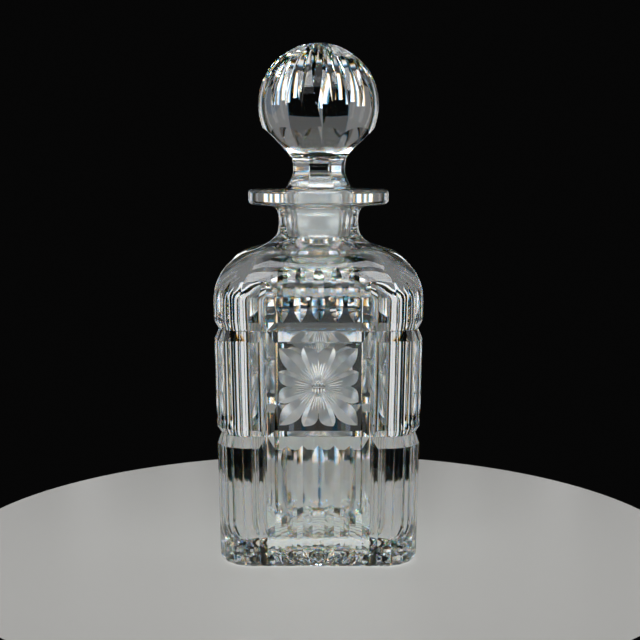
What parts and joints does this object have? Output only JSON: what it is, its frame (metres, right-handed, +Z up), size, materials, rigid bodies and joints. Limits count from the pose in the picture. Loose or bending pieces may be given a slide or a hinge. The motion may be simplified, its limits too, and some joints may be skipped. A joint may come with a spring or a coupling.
{
  "type": "decanter",
  "caption": "Square cut crystal decanter with bevelled corner pillars, fluted and star cut panels, a flat disc rim and a lift-out fluted ball stopper.",
  "frame": {"origin": "middle of the flat ring under the base that the decanter stands on", "axes": "+Z up along the bottle and stopper, -Y towards the front panel, +X to the right of the front panel"},
  "size_m": [0.0954, 0.0954, 0.24],
  "materials": {
    "bottle_crystal": "cut and polished clear lead crystal, with satin ground star cuts",
    "stopper_crystal": "cut and polished clear lead crystal, with a ground peg"
  },
  "bodies": {
    "bottle": {"decanter_body": "bottle_crystal"},
    "stopper": {"stopper": "stopper_crystal"}
  },
  "joints": [
    {"name": "stopper_lift", "type": "slide", "parent": "bottle", "child": "stopper", "axis": [0, 0, 1], "range_m": [0, 0.045]}
  ]
}
